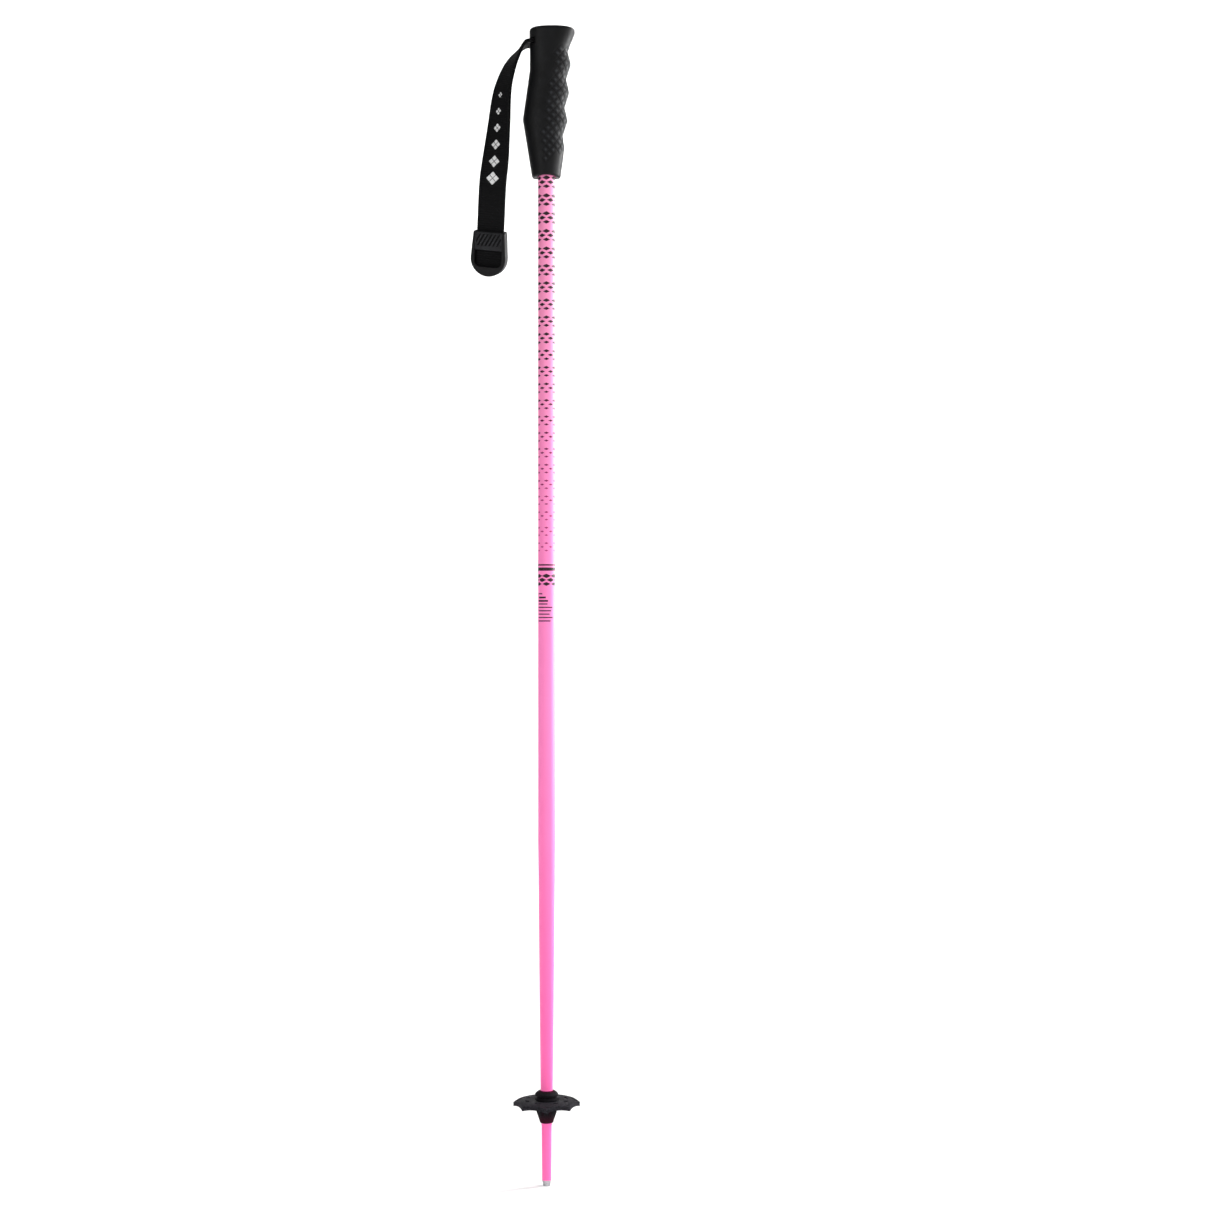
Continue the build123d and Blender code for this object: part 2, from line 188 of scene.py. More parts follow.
def lacquer(name, printed):
    """Satin pink lacquer over metal, one pink with painted light that makes it lighter towards the top
    of the pole; printed adds the dark marks below the grip.
    """
    g = Graph(name)
    x, y, z = g.axes()
    cloud = g.math("MULTIPLY", g.math("SUBTRACT", g.noise(60 * mm, 2), 0.5), 0.12)
    # painted light: the pink blends from the darker low tone to the lighter high tone up the pole
    height = g.math("ADD", z, cloud)
    colour = g.mix(g.step(height, 0.1, 0.55), PINK_PAINTED_LIGHT_LOW, PINK_PAINTED_LIGHT_MIDDLE)
    colour = g.mix(g.step(height, 0.6, 0.95), colour, PINK_PAINTED_LIGHT_HIGH)
    speckle = g.noise(0.35 * mm, 2)
    colour = g.mix(g.step(speckle, 0.62, 0.8, 0.0, 0.22), colour, (1.0, 0.5, 0.72))
    # scuffs from snow and gravel, more of them low on the pole
    low_down = g.step(z, 50 * mm, 210 * mm, 1.0, 0.0)
    pit = g.math("MULTIPLY", g.step(g.noise(1.1 * mm, 3, 0.7), 0.70, 0.76), low_down)
    colour = g.mix(g.math("MULTIPLY", pit, 0.5), colour, (0.45, 0.06, 0.17))
    stretched = g.joined(g.math("MULTIPLY", x, 6.0), g.math("MULTIPLY", y, 6.0), z)
    brushed = g.noise(9 * mm, 3, 0.6, stretched)
    if printed:
        mark, fade = printed_marks(g, x, y, z)
        colour = g.mix(mark, colour, g.mix(fade, INK, INK_FADED))
    rough = g.step(brushed, 0.35, 0.75, 0.42, 0.5)
    rough = g.math("ADD", rough, g.math("MULTIPLY", pit, 0.3))
    peel = g.bump(g.noise(0.9 * mm, 1), 0.012 * mm, 0.6)
    normal = g.bump(g.math("SUBTRACT", 1.0, pit), 0.05 * mm, 0.6, peel)
    return g.finish(
        Base_Color=colour,
        Roughness=rough,
        Normal=normal,
        Coat_Weight=0.2,
        Coat_Roughness=0.42,
        Specular_IOR_Level=0.25,
    )


MARKS_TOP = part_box("grip_cover")[0].z + 1.5 * mm
MARKS_AROUND = 6
# the print's places in millimetres below MARKS_TOP
SMALL_MARKS_END = 392.0
FADING_END = 396.0
FADED_AT = 400.0
BANDS_PER_MM = 0.05376  # at the top: bands 18.6 mm apart
BANDS_CROWDING = 0.000012  # brings them to 15.8 mm apart at SMALL_MARKS_END
BLOCK_TOP = 401.0
# and in millimetres below BLOCK_TOP
PLAIN_RINGS = ((0.0, 1.5), (3.4, 3.4))  # each ring's start and height
LARGE_RING_START = 10.0
LARGE_RING_HEIGHT = 12.5
BARS_START = 30.0
BAR_PITCH = 3.5
BAR_HEIGHT = 1.15
TALL_BAR_HEIGHT = 1.8
TALL_BARS = (1, 2)
BAR_EDGE = -0.43  # where every bar starts, as a share of the way round
BAR_LENGTHS = (0.10, 0.17, 0.21, 0.20, 0.30, 0.27, 0.24, 0.31, 0.26)  # the same share


def printed_marks(g, x, y, z):
    """Rings of small diamonds that shrink and fade down the shaft, then two plain rings, a large
    ring of diamonds and a block of plain bars. Gives the ink's mask and how far it has faded."""
    turn = g.math("DIVIDE", g.math("ARCTAN2", y, x), 2 * math.pi)
    depth = g.math("DIVIDE", g.math("SUBTRACT", MARKS_TOP, z), mm)
    fade = g.math("DIVIDE", depth, FADED_AT, clamp=True)
    bands = g.math("MULTIPLY", depth, g.math("MULTIPLY_ADD", depth, BANDS_CROWDING, BANDS_PER_MM))
    rings = diamond_rings(g, turn, g.math("FRACT", bands), 0.24, 3, g.step(fade, 0, 1, 1.0, 0.5))
    mask = g.math("MULTIPLY", rings, g.between(depth, -0.5, SMALL_MARKS_END))
    # two plain rings, then one large ring of diamonds
    below = g.math("SUBTRACT", depth, BLOCK_TOP)
    for start, height in PLAIN_RINGS:
        mask = g.math("MAXIMUM", mask, g.between(below, start, start + height))
    large = g.math("DIVIDE", g.math("SUBTRACT", below, LARGE_RING_START), LARGE_RING_HEIGHT)
    ring = diamond_rings(g, turn, large, 0.333, 3, 1.1)
    mask = g.math("MAXIMUM", mask, g.math("MULTIPLY", ring, g.between(large, 0.0, 1.0)))
    # plain bars of unequal length on the front of the shaft
    across = g.math("SUBTRACT", turn, BAR_EDGE)
    for row, length in enumerate(BAR_LENGTHS):
        start = BARS_START + BAR_PITCH * row
        tall = TALL_BAR_HEIGHT if row in TALL_BARS else BAR_HEIGHT
        bar = g.math("MULTIPLY", g.between(across, 0.0, length), g.between(below, start, start + tall))
        mask = g.math("MAXIMUM", mask, bar)
    faded = g.math("MULTIPLY", g.step(fade, 0.45, 1.0), g.math("LESS_THAN", depth, FADING_END))
    return mask, g.math("MULTIPLY", faded, 0.8)


def diamond_rings(g, turn, phase, row_share, rows, size):
    """Rows of diamonds round the shaft, each row smaller than the last and half a step aside."""
    row_place = g.math("DIVIDE", phase, row_share)
    row = g.math("FLOOR", row_place)
    up = g.math("ABSOLUTE", g.math("SUBTRACT", g.math("FRACT", row_place), 0.5))
    aside = g.math("MULTIPLY_ADD", turn, float(MARKS_AROUND), g.math("MULTIPLY", row, 0.5))
    across = g.math("ABSOLUTE", g.math("SUBTRACT", g.math("FRACT", g.math("ADD", aside, 8.0)), 0.5))
    reach = g.math("ADD", g.math("MULTIPLY", across, 1.04), up)
    limit = g.math("MULTIPLY", g.math("MULTIPLY_ADD", row, -0.03, 0.5), size)
    shape = g.math("LESS_THAN", reach, limit)
    return g.math("MULTIPLY", shape, g.math("LESS_THAN", row, rows - 0.5))


def rubber():
    """Soft matt black grip rubber: fine grain, grooves duller than the lands, with painted shade in the
    grooves and painted highlights on the lands.
    """
    g = Graph("grip_rubber")
    relief = g.attribute("relief")
    cloud = g.noise(14 * mm, 3)
    dust = g.noise(0.5 * mm, 3, 0.7)
    colour = g.mix(g.step(cloud, 0.35, 0.7), (0.0030, 0.0031, 0.0034), (0.0052, 0.0054, 0.0062))
    # painted shade: the grooves and the strap slot's inside are darker
    colour = g.mix(g.step(relief, -0.5, 0.0, 0.75, 0.0), colour, (0.001, 0.001, 0.0012))
    # painted highlight: the raised lands of the lattice are lighter
    colour = g.mix(g.step(relief, 0.0, 0.12, 0.0, 0.9), colour, (0.021, 0.022, 0.025))
    colour = g.mix(g.step(dust, 0.66, 0.78, 0.0, 0.3), colour, (0.022, 0.0225, 0.025))
    rough = g.step(g.noise(3 * mm, 3, 0.6), 0.3, 0.7, 0.44, 0.56)
    rough = g.math("SUBTRACT", rough, g.step(relief, 0.0, 0.15, 0.0, 0.08))
    grain = g.bump(g.noise(0.32 * mm, 3, 0.65), 0.05 * mm, 0.8)
    normal = g.bump(cloud, 0.3 * mm, 0.25, grain)
    return g.finish(Base_Color=colour, Roughness=rough, Normal=normal, Specular_IOR_Level=0.16)


def moulded(
    name,
    dark,
    light,
    grain_size,
    grain_height,
    rough=(0.42, 0.56),
    shine=0.14,
    patch=9 * mm,
    painted_shaft_glow=None,
    painted_groove_shade=None,
):
    """Moulded black plastic with a sparked grain; painted_shaft_glow paints the shaft's pink light
    showing through the translucent plastic where it meets the shaft, and painted_groove_shade (a point
    on the outer face and its outward direction) paints shade into grooves cut below it."""
    g = Graph(name)
    cloud = g.noise(patch, 3, 0.6)
    grain = g.noise(grain_size, 3, 0.7)
    colour = g.mix(g.step(cloud, 0.3, 0.7), dark, light)
    colour = g.mix(g.step(grain, 0.58, 0.74, 0.0, 0.5), colour, tuple(2.6 * c for c in light))
    if painted_shaft_glow is not None:
        x, y, z = g.axes()
        radius = g.math("SQRT", g.math("ADD", g.math("MULTIPLY", x, x), g.math("MULTIPLY", y, y)))
        # painted light: the shaft's pink showing through the translucent plastic, added near the shaft
        near = g.step(radius, 7.0 * mm, 10.5 * mm, 0.75, 0.0)
        colour = g.mix(near, colour, painted_shaft_glow)
    if painted_groove_shade is not None:
        place, outward = painted_groove_shade
        over = 0.0
        for coordinate, share in zip(g.axes(), outward):
            over = g.math("ADD", over, g.math("MULTIPLY", coordinate, share))
        depth = g.math("SUBTRACT", over, float(np.dot(place, outward)))
        # painted shade: grooves cut below the outer face are darkened
        colour = g.mix(g.step(depth, -1.2 * mm, -0.3 * mm, 1.0, 0.0), colour, (0.0006, 0.0006, 0.0007))
    cells = g.bump(g.cells(grain_size * 1.6), grain_height, 0.5)
    normal = g.bump(grain, grain_height, 0.9, cells)
    return g.finish(
        Base_Color=colour,
        Roughness=g.step(cloud, 0.3, 0.7, *rough),
        Normal=normal,
        Specular_IOR_Level=shine,
    )


def steel(name, colour, rough):
    """Hardened steel, finely turned, with stains."""
    g = Graph(name)
    x, y, z = g.axes()
    turned = g.noise(0.5 * mm, 2, 0.6, g.joined(x, y, g.math("MULTIPLY", z, 9.0)))
    stain = g.noise(2.2 * mm, 3, 0.6)
    tone = g.mix(g.step(stain, 0.45, 0.75, 0.0, 0.6), colour, tuple(0.45 * c for c in colour))
    return g.finish(
        Base_Color=tone,
        Metallic=1.0,
        Roughness=g.step(turned, 0.3, 0.7, rough - 0.07, rough + 0.09),
        Normal=g.bump(turned, 0.02 * mm, 0.6),
    )


# ---------------------------------------------------------------- webbing
WEBBING_WIDTH = 29 * mm
WEBBING_THICKNESS = 1.6 * mm
RIB_PITCH = 2.4 * mm
YARN_PITCH = 0.72 * mm
PRINT_FIRST = 64 * mm  # along the webbing from the slot to the first white mark
PRINT_PITCH = 17.4 * mm
PRINT_COUNT = 6
PRINT_FIRST_SIZE = 3.1  # half across the first mark, in millimetres
PRINT_GROWTH = 0.75  # more on each mark after it
PRINT_GAP = 0.42  # the thin cross that cuts a mark into four
UNPRINTED = 400 * RIB_PITCH  # how far the map of the inner faces lies from the printed stretch


def webbing_material():
    """Black ribbed polyester: warp yarns over each cross rib, and small printed white diamonds.
    The map holds metres: u across the webbing and v along its outer face from the slot."""
    g = Graph("webbing_black")
    place = g.node("ShaderNodeUVMap", uv_map="cloth").outputs["UV"]
    u, v, _ = g.axes(place)
    rib = g.math("ABSOLUTE", g.math("SINE", g.math("MULTIPLY", v, math.pi / RIB_PITCH)))
    row = g.math("FLOOR", g.math("DIVIDE", v, RIB_PITCH))
    shifted = g.math("MULTIPLY_ADD", row, 0.5, g.math("DIVIDE", u, YARN_PITCH))
    yarn = g.math("ABSOLUTE", g.math("SINE", g.math("MULTIPLY", shifted, math.pi)))
    fibre = g.noise(0.22 * mm, 2, 0.6, g.joined(u, g.math("MULTIPLY", v, 0.2), 0.0))
    colour = g.mix(yarn, (0.0015, 0.0015, 0.0017), (0.0055, 0.0055, 0.006))
    colour = g.mix(g.step(fibre, 0.55, 0.8, 0.0, 0.4), colour, (0.014, 0.014, 0.0155))
    # six white marks that grow towards the buckle, each cut into four by a thin cross
    order = g.math("DIVIDE", g.math("SUBTRACT", v, PRINT_FIRST), PRINT_PITCH)
    nearest = g.math("ROUND", order)
    along = g.math("MULTIPLY", g.math("SUBTRACT", order, nearest), PRINT_PITCH / mm)
    across = g.math("DIVIDE", u, mm)
    size = g.math("MULTIPLY_ADD", nearest, PRINT_GROWTH, PRINT_FIRST_SIZE)
    diagonal_a = g.math("ABSOLUTE", g.math("ADD", along, across))
    diagonal_b = g.math("ABSOLUTE", g.math("SUBTRACT", along, across))
    diamond = g.math("LESS_THAN", g.math("MAXIMUM", diagonal_a, diagonal_b), size)
    gaps = g.math("GREATER_THAN", g.math("MINIMUM", diagonal_a, diagonal_b), PRINT_GAP)
    counted = g.math("COMPARE", nearest, (PRINT_COUNT - 1) / 2, PRINT_COUNT / 2 - 0.2)
    printed = g.math("MULTIPLY", g.math("MULTIPLY", diamond, gaps), counted)
    worn = g.math("MULTIPLY", printed, g.step(fibre, 0.2, 0.45, 0.75, 1.0))
    colour = g.mix(worn, colour, (0.74, 0.74, 0.74))
    yarns = g.bump(g.math("MULTIPLY", yarn, rib), 0.16 * mm, 0.9)
    normal = g.bump(fibre, 0.05 * mm, 0.6, yarns)
    return g.finish(
        Base_Color=colour,
        Roughness=g.step(yarn, 0.0, 1.0, 0.9, 0.62),
        Normal=normal,
        Specular_IOR_Level=0.08,
    )


# ---------------------------------------------------------------- mesh helpers
def grid_faces(rows, columns, closed_rows=False):
    """Quads of a grid that is closed round its columns, and round its rows if closed_rows."""
    last = rows if closed_rows else rows - 1
    row, column = np.meshgrid(np.arange(last), np.arange(columns), indexing="ij")
    here = row * columns
    above = (row + 1) % rows * columns
    after = (column + 1) % columns
    return np.stack([here + column, here + after, above + after, above + column], -1).reshape(-1, 4)


def make_piece(name, points, faces, material, body=None):
    mesh = bpy.data.meshes.new(name)
    mesh.from_pydata(points.tolist(), [], [list(face) for face in faces])
    mesh.update()
    mesh.shade_smooth()
    piece = bpy.data.objects.new(name, mesh)
    bpy.context.scene.collection.objects.link(piece)
    mesh.materials.append(material)
    if body is not None:
        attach(piece, body)
    return piece


def smoothed(values, width):
    """values averaged along their first axis with a bell of that standard deviation, in samples."""
    reach = int(4 * width)
    bell = np.exp(-0.5 * (np.arange(-reach, reach + 1) / width) ** 2)
    bell /= bell.sum()
    first = 2 * values[:1] - values[reach:0:-1]
    last = 2 * values[-1:] - values[-2 : -reach - 2 : -1]
    padded = np.concatenate([first, values, last])
    return np.stack([np.convolve(column, bell, "valid") for column in padded.T], -1)


def curve_through(points, spacing):
    """Points every spacing metres on a smooth curve through points; extra columns come along."""
    points = np.array(points, float)
    steps = np.linalg.norm(np.diff(points[:, :3], axis=0), axis=1)
    place = np.concatenate([[0], np.cumsum(steps)])
    slopes = np.gradient(points, place, axis=0)
    samples = 4000
    fine = np.linspace(0, place[-1], samples)
    span = np.clip(np.searchsorted(place, fine, "right") - 1, 0, len(points) - 2)
    width = (place[span + 1] - place[span])[:, None]
    t = (fine - place[span])[:, None] / width
    start, end = points[span], points[span + 1]
    curve = (
        (2 * t**3 - 3 * t**2 + 1) * start
        + (t**3 - 2 * t**2 + t) * width * slopes[span]
        + (3 * t**2 - 2 * t**3) * end
        + (t**3 - t**2) * width * slopes[span + 1]
    )
    lengths = np.linalg.norm(np.diff(curve[:, :3], axis=0), axis=1)
    along = np.concatenate([[0], np.cumsum(lengths)])
    wanted = np.linspace(0, along[-1], int(round(along[-1] / spacing)) + 1)
    return np.stack([np.interp(wanted, along, column) for column in curve.T], -1)


def unit(vectors):
    return vectors / np.linalg.norm(vectors, axis=-1, keepdims=True)


# ---------------------------------------------------------------- grip cover
# Outline of the grip against the height over its lower end, in millimetres: the finger side and
# the palm side from the shaft's axis, half the depth, and how square the section is.
GRIP_FRONT = (
    (0, 14.2), (7, 15.1), (19.5, 17.0), (31.5, 18.4), (44, 16.6), (59.6, 21.7), (73.2, 18.5),
    (88.6, 23.3), (102.8, 20.1), (118, 24.9), (131.2, 21.5), (138, 24.0), (146, 27.4), (151.6, 29.5),
)
GRIP_BACK = ((0, 14.9), (7, 16.1), (31.7, 20.0), (60.4, 24.7), (111, 17.5), (125, 17.3), (150.6, 17.8))
GRIP_DEPTH = ((0, 14.4), (8, 15.2), (18, 15.8), (60, 16.6), (118, 16.9), (132, 17.6), (150.6, 18.5))
GRIP_SQUARENESS = ((0, 2.2), (102, 2.3), (117, 2.5), (132, 2.8), (150.6, 3.0))
# the head's rounded edge and shallow dome: height, how far the outline draws in, and squareness
HEAD_RIM = 151.4
CROWN = (
    (152.4, 0.3, 3.0), (153.3, 1.0, 3.0), (153.8, 2.4, 2.9),
    (154.7, 8.0, 2.7), (155.7, 14.0, 2.4), (156.2, 18.3, 2.0),
)
CROWN_ARCH = 0.9  # the whole head rises this much between its palm and finger ends
DIAMOND_STEPS = 18  # grid steps across one diamond of the lattice
DIAMONDS_AROUND = 14
# one diamond from its edge inward: grid steps, and the relief's height there
NESTING_STEPS = (0, 1, 2, 3, 4, 5, 6, 9)
NESTING_HEIGHTS = (-0.66, -0.36, 0.05, 0.10, -0.36, 0.06, 0.12, 0.22)
GRIP_STEP = 0.5  # millimetres between the grid's rows
SECTION_SMOOTHING = 1.4  # in rows
LATTICE_END = 145  # no relief is moulded above this height
RIM_ARCH_RADIUS = 46.0
RIM_ARCH_RISE = 1.7
RIM_ARCH_REACH = 9  # the arch dies out this far above the rim
HEAD_ARCH_MIDDLE = 6  # from the shaft's axis towards the finger side
HEAD_ARCH_HALF = 24  # half the length of the head's arch
HEAD_ARCH_START = 128  # the arch grows in from this height
HEAD_ARCH_REACH = 20  # over this much height
LOWER_EDGE_RADIUS = 2.2
TUBE_LIP_RADIUS = 9.05
CORE_BORE_RADIUS = 12.1
CORE_BORE_TOP = 129.0


def lattice_relief(row, column, columns):
    """Height in millimetres of the moulded lattice at each point of the grid: nested diamonds on
    the finger side, and their faint trace on the palm side."""
    aside = (column + columns // 2) % columns - columns // 2
    height = row * GRIP_STEP
    a = (aside + row) / DIAMOND_STEPS
    b = (aside - row) / DIAMOND_STEPS
    inward = (0.5 - np.maximum(abs(a % 1 - 0.5), abs(b % 1 - 0.5))) * DIAMOND_STEPS
    profile = np.interp(inward, NESTING_STEPS, NESTING_HEIGHTS)
    # each diamond is whole or missing, by where its middle lies
    middle_a, middle_b = np.floor(a) + 0.5, np.floor(b) + 0.5
    middle_aside = abs(middle_a + middle_b) / 2
    middle_height = (middle_a - middle_b) / 2 * DIAMOND_STEPS * GRIP_STEP
    reach = np.interp(middle_height, (20, 50, 62, 135), (3.95, 3.6, 3.05, 2.95))
    low = 17.0 + 3.6 * np.maximum(3.6 - middle_aside, 0)
    high = 137.0 - 5.0 * np.maximum(middle_aside - 1.0, 0)
    whole = (middle_aside < reach) & (middle_height > low) & (middle_height < high)
    faint = (height > 22) & (height < 118) & (inward < 2)
    return np.where(whole, profile, np.where(faint, 0.12 * profile, 0.0))


def grip_sections():
    """Height, front, back, half depth and squareness at even steps from the rim to the crown."""
    heights = np.arange(0, HEAD_RIM, 0.1)
    sides = [
        np.interp(heights, *zip(*side))
        for side in (GRIP_FRONT, GRIP_BACK, GRIP_DEPTH, GRIP_SQUARENESS)
    ]
    stations = np.stack([heights, *sides], -1)
    front, back, depth = stations[-1, 1:4]
    crown = [(height, front - draw, back - draw, depth - draw, square) for height, draw, square in CROWN]
    stations = np.concatenate([stations, crown])
    steps = np.hypot(np.diff(stations[:, 0]), np.diff(stations[:, 1]) * (stations[1:, 0] > HEAD_RIM))
    place = np.concatenate([[0], np.cumsum(steps)])
    wanted = np.arange(0, place[-1], GRIP_STEP)
    sections = np.stack([np.interp(wanted, place, column) for column in stations.T], -1)
    return smoothed(sections, SECTION_SMOOTHING)


def outline(front, back, depth, squareness, columns):
    """Points at even steps round one section, from the middle of the finger side."""
    turn = np.linspace(0, 2 * math.pi, 1441)
    reach = (front + back) / 2
    across = abs(np.cos(turn) / reach) ** squareness + abs(np.sin(turn) / depth) ** squareness
    radius = across ** (-1 / squareness)
    x = (front - back) / 2 + radius * np.cos(turn)
    y = radius * np.sin(turn)
    along = np.concatenate([[0], np.cumsum(np.hypot(np.diff(x), np.diff(y)))])
    wanted = along[-1] * np.arange(columns) / columns
    return np.stack([np.interp(wanted, along, x), np.interp(wanted, along, y)], -1)


def grip_cover():
    columns = DIAMOND_STEPS * DIAMONDS_AROUND
    sections = grip_sections()
    # the lower edge is rounded
    edge = LOWER_EDGE_RADIUS
    inset = edge - np.sqrt(edge**2 - np.clip(edge - sections[:, 0], 0, edge) ** 2)
    sections[:, 1:4] -= inset[:, None]
    rings = np.stack([outline(*section[1:], columns) for section in sections])
    points = np.concatenate([rings, np.broadcast_to(sections[:, :1, None], (*rings.shape[:2], 1))], -1)
    # the rim arches up over the shaft, front and back
    arch = RIM_ARCH_RISE - RIM_ARCH_RADIUS + np.sqrt(RIM_ARCH_RADIUS**2 - points[..., 0] ** 2)
    share = np.clip(1 - sections[:, 0] / RIM_ARCH_REACH, 0, 1)[:, None]
    points[..., 2] += np.maximum(arch, 0) * share
    # the head arches up from its palm end to its finger end
    crown = CROWN_ARCH * (1 - ((points[..., 0] - HEAD_ARCH_MIDDLE) / HEAD_ARCH_HALF) ** 2)
    points[..., 2] += crown * np.clip((sections[:, :1] - HEAD_ARCH_START) / HEAD_ARCH_REACH, 0, 1) ** 2
    row, column = np.meshgrid(np.arange(len(sections)), np.arange(columns), indexing="ij")
    relief = np.where(sections[:, :1] < LATTICE_END, lattice_relief(row, column, columns), 0)
    around = np.roll(points, -1, 1) - np.roll(points, 1, 1)
    up = np.gradient(points, axis=0)
    points += unit(np.cross(around, up)) * relief[..., None]
    relief, points = strap_mouth(relief, points)
    # inside: the lip that hugs the tube, and the bore round the hard core
    turn = 2 * math.pi * np.arange(columns) / columns
    inner = [
        (TUBE_LIP_RADIUS, 0.7, 1),  # radius, height, and 1 where the ring follows the rim's arch
        (TUBE_LIP_RADIUS, 3.0, 0),
        (CORE_BORE_RADIUS, 3.4, 0),
        (CORE_BORE_RADIUS, CORE_BORE_TOP, 0),
    ]
    lower = []
    for radius, height, arched in inner:
        rise = arched * (RIM_ARCH_RISE - RIM_ARCH_RADIUS)
        rise += arched * np.sqrt(RIM_ARCH_RADIUS**2 - (radius * np.cos(turn)) ** 2)
        lower.append(np.stack([radius * np.cos(turn), radius * np.sin(turn), height + rise], -1))
    points = np.concatenate([np.stack(lower[::-1]), points])
    relief = np.concatenate([np.zeros((len(inner), columns)), relief])
    rows = len(points)
    points[..., 2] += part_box("grip_cover")[0].z / mm
    ends = np.array([[0, 0, points[0, 0, 2]], [5.7, 0, points[-1, 0, 2]]])
    flat = np.concatenate([points.reshape(-1, 3), ends]) * mm
    faces = [*grid_faces(rows, columns).tolist()]
    top, low_end, high_end = (rows - 1) * columns, rows * columns, rows * columns + 1
    for i in range(columns):
        after = (i + 1) % columns
        faces.append([low_end, after, i])
        faces.append([high_end, top + i, top + after])
    piece = make_piece("grip_rubber_cover", flat, faces, rubber(), "pole")
    attribute = piece.data.attributes.new("relief", "FLOAT", "POINT")
    attribute.data.foreach_set("value", np.append(relief.ravel(), [0, 0]).astype(np.float32))
    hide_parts("grip_cover")
    return piece


def strap_mouth(relief, points):
    """Sinks the slot that the webbing leaves by, with a low raised lip round it, and marks its inside
    for painted shade.
    """
    level = (joints["strap_swing"]["pos_m"][2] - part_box("grip_cover")[0].z) / mm
    tall, wide, deep, front = 2.9, 16.4, 5.6, -11.5
    lip_height = 0.45
    x, y, z = points[..., 0], points[..., 1], points[..., 2]
    aside = np.maximum((abs(y) - wide) * 0.8, (x - front) * 0.8)
    out = np.maximum(abs(z - level) - tall, aside)
    behind = x < 0
    lip = np.exp(-(((out - 0.9) / 0.7) ** 2)) * behind
    sink = np.clip(-out / 0.5, 0, 1) * behind
    centre = np.stack([np.full_like(x, 4.0), y * 0.55, z], -1)
    outward = unit(points - centre)
    points = points + outward * (lip_height * lip)[..., None]
    points[..., 0] += sink * deep
    # inside the slot the relief is set to -0.6 only so that the rubber paints shade there
    return np.where(sink > 0, -0.6, relief), points


# ---------------------------------------------------------------- wrist strap
# The loop's middle line from the slot to the buckle, from the hinge at the slot's mouth, in
# millimetres, and how far the webbing's face has turned from the front to the back of the grip.
STRAP_ROUTE = (
    (18.2, 0.0, 0.0, 90.0),
    (10.0, 0.0, 0.0, 90.0),
    (2.1, 0.0, 0.0, 89.0),
    (0.0, 0.0, -0.2, 88.0),
    (-5.9, 0.0, -4.4, 80.0),
    (-11.3, -0.5, -11.1, 70.0),
    (-16.3, -1.2, -19.6, 63.0),
    (-21.2, -2.2, -31.6, 57.0),
    (-24.9, -3.4, -44.6, 52.0),
    (-27.5, -4.6, -60.6, 47.0),
    (-29.3, -5.8, -79.6, 42.0),
    (-31.1, -6.6, -100.6, 33.0),
    (-33.2, -6.8, -120.6, 24.0),
    (-35.6, -5.8, -142.6, 16.0),
    (-36.9, -3.0, -164.6, 14.0),
)
BUCKLE_NOSE = (-41.2, 18.0, -237.6)
STRAP_END = 9.5  # from the buckle's nose to the webbing's fold
PLY_OFFSET = 0.95
LOOP_GAP = 22.0
LOOP_GAP_RANGE = (-164.6, -42.6)
INNER_PLY_EXTRA_YAW = 4.0
PIN_LOOP = 2.85  # radius of the webbing's middle round the pin
PARTING_START = 6  # inside the slot, where the plies begin to part towards the pin
PARTING_REACH = 12.2
ROW_STEP = 0.42  # millimetres between the webbing's rows
RIB_DEPTH = 0.30  # share of the thickness lost between two ribs
SELVEDGE = 1.5
SELVEDGE_WAVE = 0.022
SELVEDGE_SWELL = 1.03


def strap_frames():
    """Middle, width direction and outward direction along the whole closed band of webbing, and
    the length from the slot's mouth on its outer ply."""
    run_up = np.array(joints["buckle_slide"]["axis"], float)
    nose = np.array(BUCKLE_NOSE)
    end = nose + run_up * STRAP_END
    run_yaw = STRAP_ROUTE[-1][3]
    run = [(*(nose + run_up * s), run_yaw) for s in (60, 45, 30, 15)]
    line = curve_through([*STRAP_ROUTE, *run, (*end, run_yaw)], ROW_STEP)
    plies = []
    for side in (1, -1):
        share = (line[:, 2] - LOOP_GAP_RANGE[0]) / (LOOP_GAP_RANGE[1] - LOOP_GAP_RANGE[0])
        gap = LOOP_GAP * np.sin(math.pi * np.clip(share, 0, 1)) ** 2 * (side < 0)
        middle = line[:, :3] + np.outer(gap, (0, 1, 0))
        along = unit(np.gradient(middle, axis=0))
        yaw = np.radians(line[:, 3] + INNER_PLY_EXTRA_YAW * gap / LOOP_GAP)
        level = np.stack([np.cos(yaw), -np.sin(yaw), 0 * yaw], -1)
        across = unit(level - along * (level * along).sum(-1, keepdims=True))
        out = np.cross(along, across) * side
        # the plies part towards the pin inside the grip
        parting = np.clip((middle[:, 0] - PARTING_START) / PARTING_REACH, 0, 1) ** 2
        spread = PLY_OFFSET + (PIN_LOOP - PLY_OFFSET) * parting
        plies.append((middle + out * spread[:, None], across, out))
    (outer, outer_across, outer_out), (inner, inner_across, inner_out) = plies
    fold = arc_frames(outer[-1], inner[-1], outer_across[-1], outer_out[-1])
    loop = arc_frames(inner[0], outer[0], inner_across[0], inner_out[0])
    middles = np.concatenate([outer, fold[0], inner[::-1], loop[0]])
    across = np.concatenate([outer_across, fold[1], inner_across[::-1], loop[1]])
    out = np.concatenate([outer_out, fold[2], inner_out[::-1], loop[2]])
    mouth = np.argmin(np.linalg.norm(outer, axis=1))
    steps = np.linalg.norm(np.diff(middles, axis=0, prepend=middles[:1]), axis=1)
    length = np.cumsum(steps)
    return middles, across, out, length - length[mouth], len(outer)


def arc_frames(start, end, across, out):
    """The half turn of the webbing from start to end, which lie on opposite faces of the loop."""
    middle, radius = (start + end) / 2, np.linalg.norm(end - start) / 2
    ahead = np.cross(across, out)
    count = max(int(math.pi * radius / ROW_STEP), 7)
    turn = math.pi * np.arange(1, count) / count
    outward = np.outer(np.cos(turn), out) + np.outer(np.sin(turn), ahead)
    return middle + outward * radius, np.broadcast_to(across, outward.shape), outward


